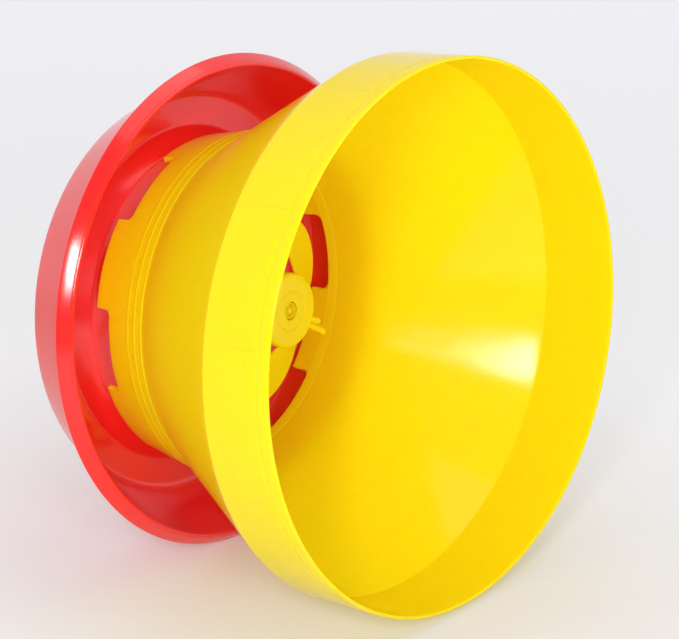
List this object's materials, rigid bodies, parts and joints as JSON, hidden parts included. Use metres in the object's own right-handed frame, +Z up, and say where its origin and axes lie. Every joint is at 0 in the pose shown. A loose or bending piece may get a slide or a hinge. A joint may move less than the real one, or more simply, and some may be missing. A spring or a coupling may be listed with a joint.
{
  "type": "round gravity feeder",
  "caption": "Round livestock feeder: sloped-lip dish with a cone hopper on a screwed column, castellated outlet and petalled hub; the hopper turns and its feed gap is set by a nut.",
  "frame": {"origin": "centre of the feeder on the floor, at the underside of the pan's foot ring", "axes": "+Z up along the column, towards the hopper's mouth; one petal lies along -Y"},
  "size_m": [0.38, 0.38, 0.252],
  "materials": {
    "red_plastic": "glossy moulded red plastic",
    "yellow_plastic": "glossy moulded yellow plastic",
    "nylon": "natural white nylon",
    "steel": "zinc-plated steel"
  },
  "bodies": {
    "base": {"feed_pan": "red_plastic", "centre_column": "red_plastic", "column_screws": "steel", "retaining_screw": "yellow_plastic", "screw_washer": "steel"},
    "lift": {"thrust_washer": "nylon"},
    "nut": {"gap_nut": "yellow_plastic"},
    "hopper": {"hopper": "yellow_plastic", "hopper_spider": "yellow_plastic", "hub_bush": "nylon"}
  },
  "joints": [
    {"name": "feed_gap", "type": "slide", "parent": "base", "child": "lift", "axis": [0, 0, 1], "range_m": [-0.012, 0]},
    {"name": "nut_turn", "type": "hinge", "parent": "lift", "child": "nut", "pos_m": [0, 0, 0.0527], "axis": [0, 0, 1], "range_deg": [-720, 0]},
    {"name": "hopper_turn", "type": "hinge", "parent": "lift", "child": "hopper", "pos_m": [0, 0, 0.0605], "axis": [0, 0, 1], "continuous": true}
  ],
  "couplings": [
    {"joint": "nut_turn", "follows": "feed_gap", "rad_per_m": 1047.2}
  ]
}
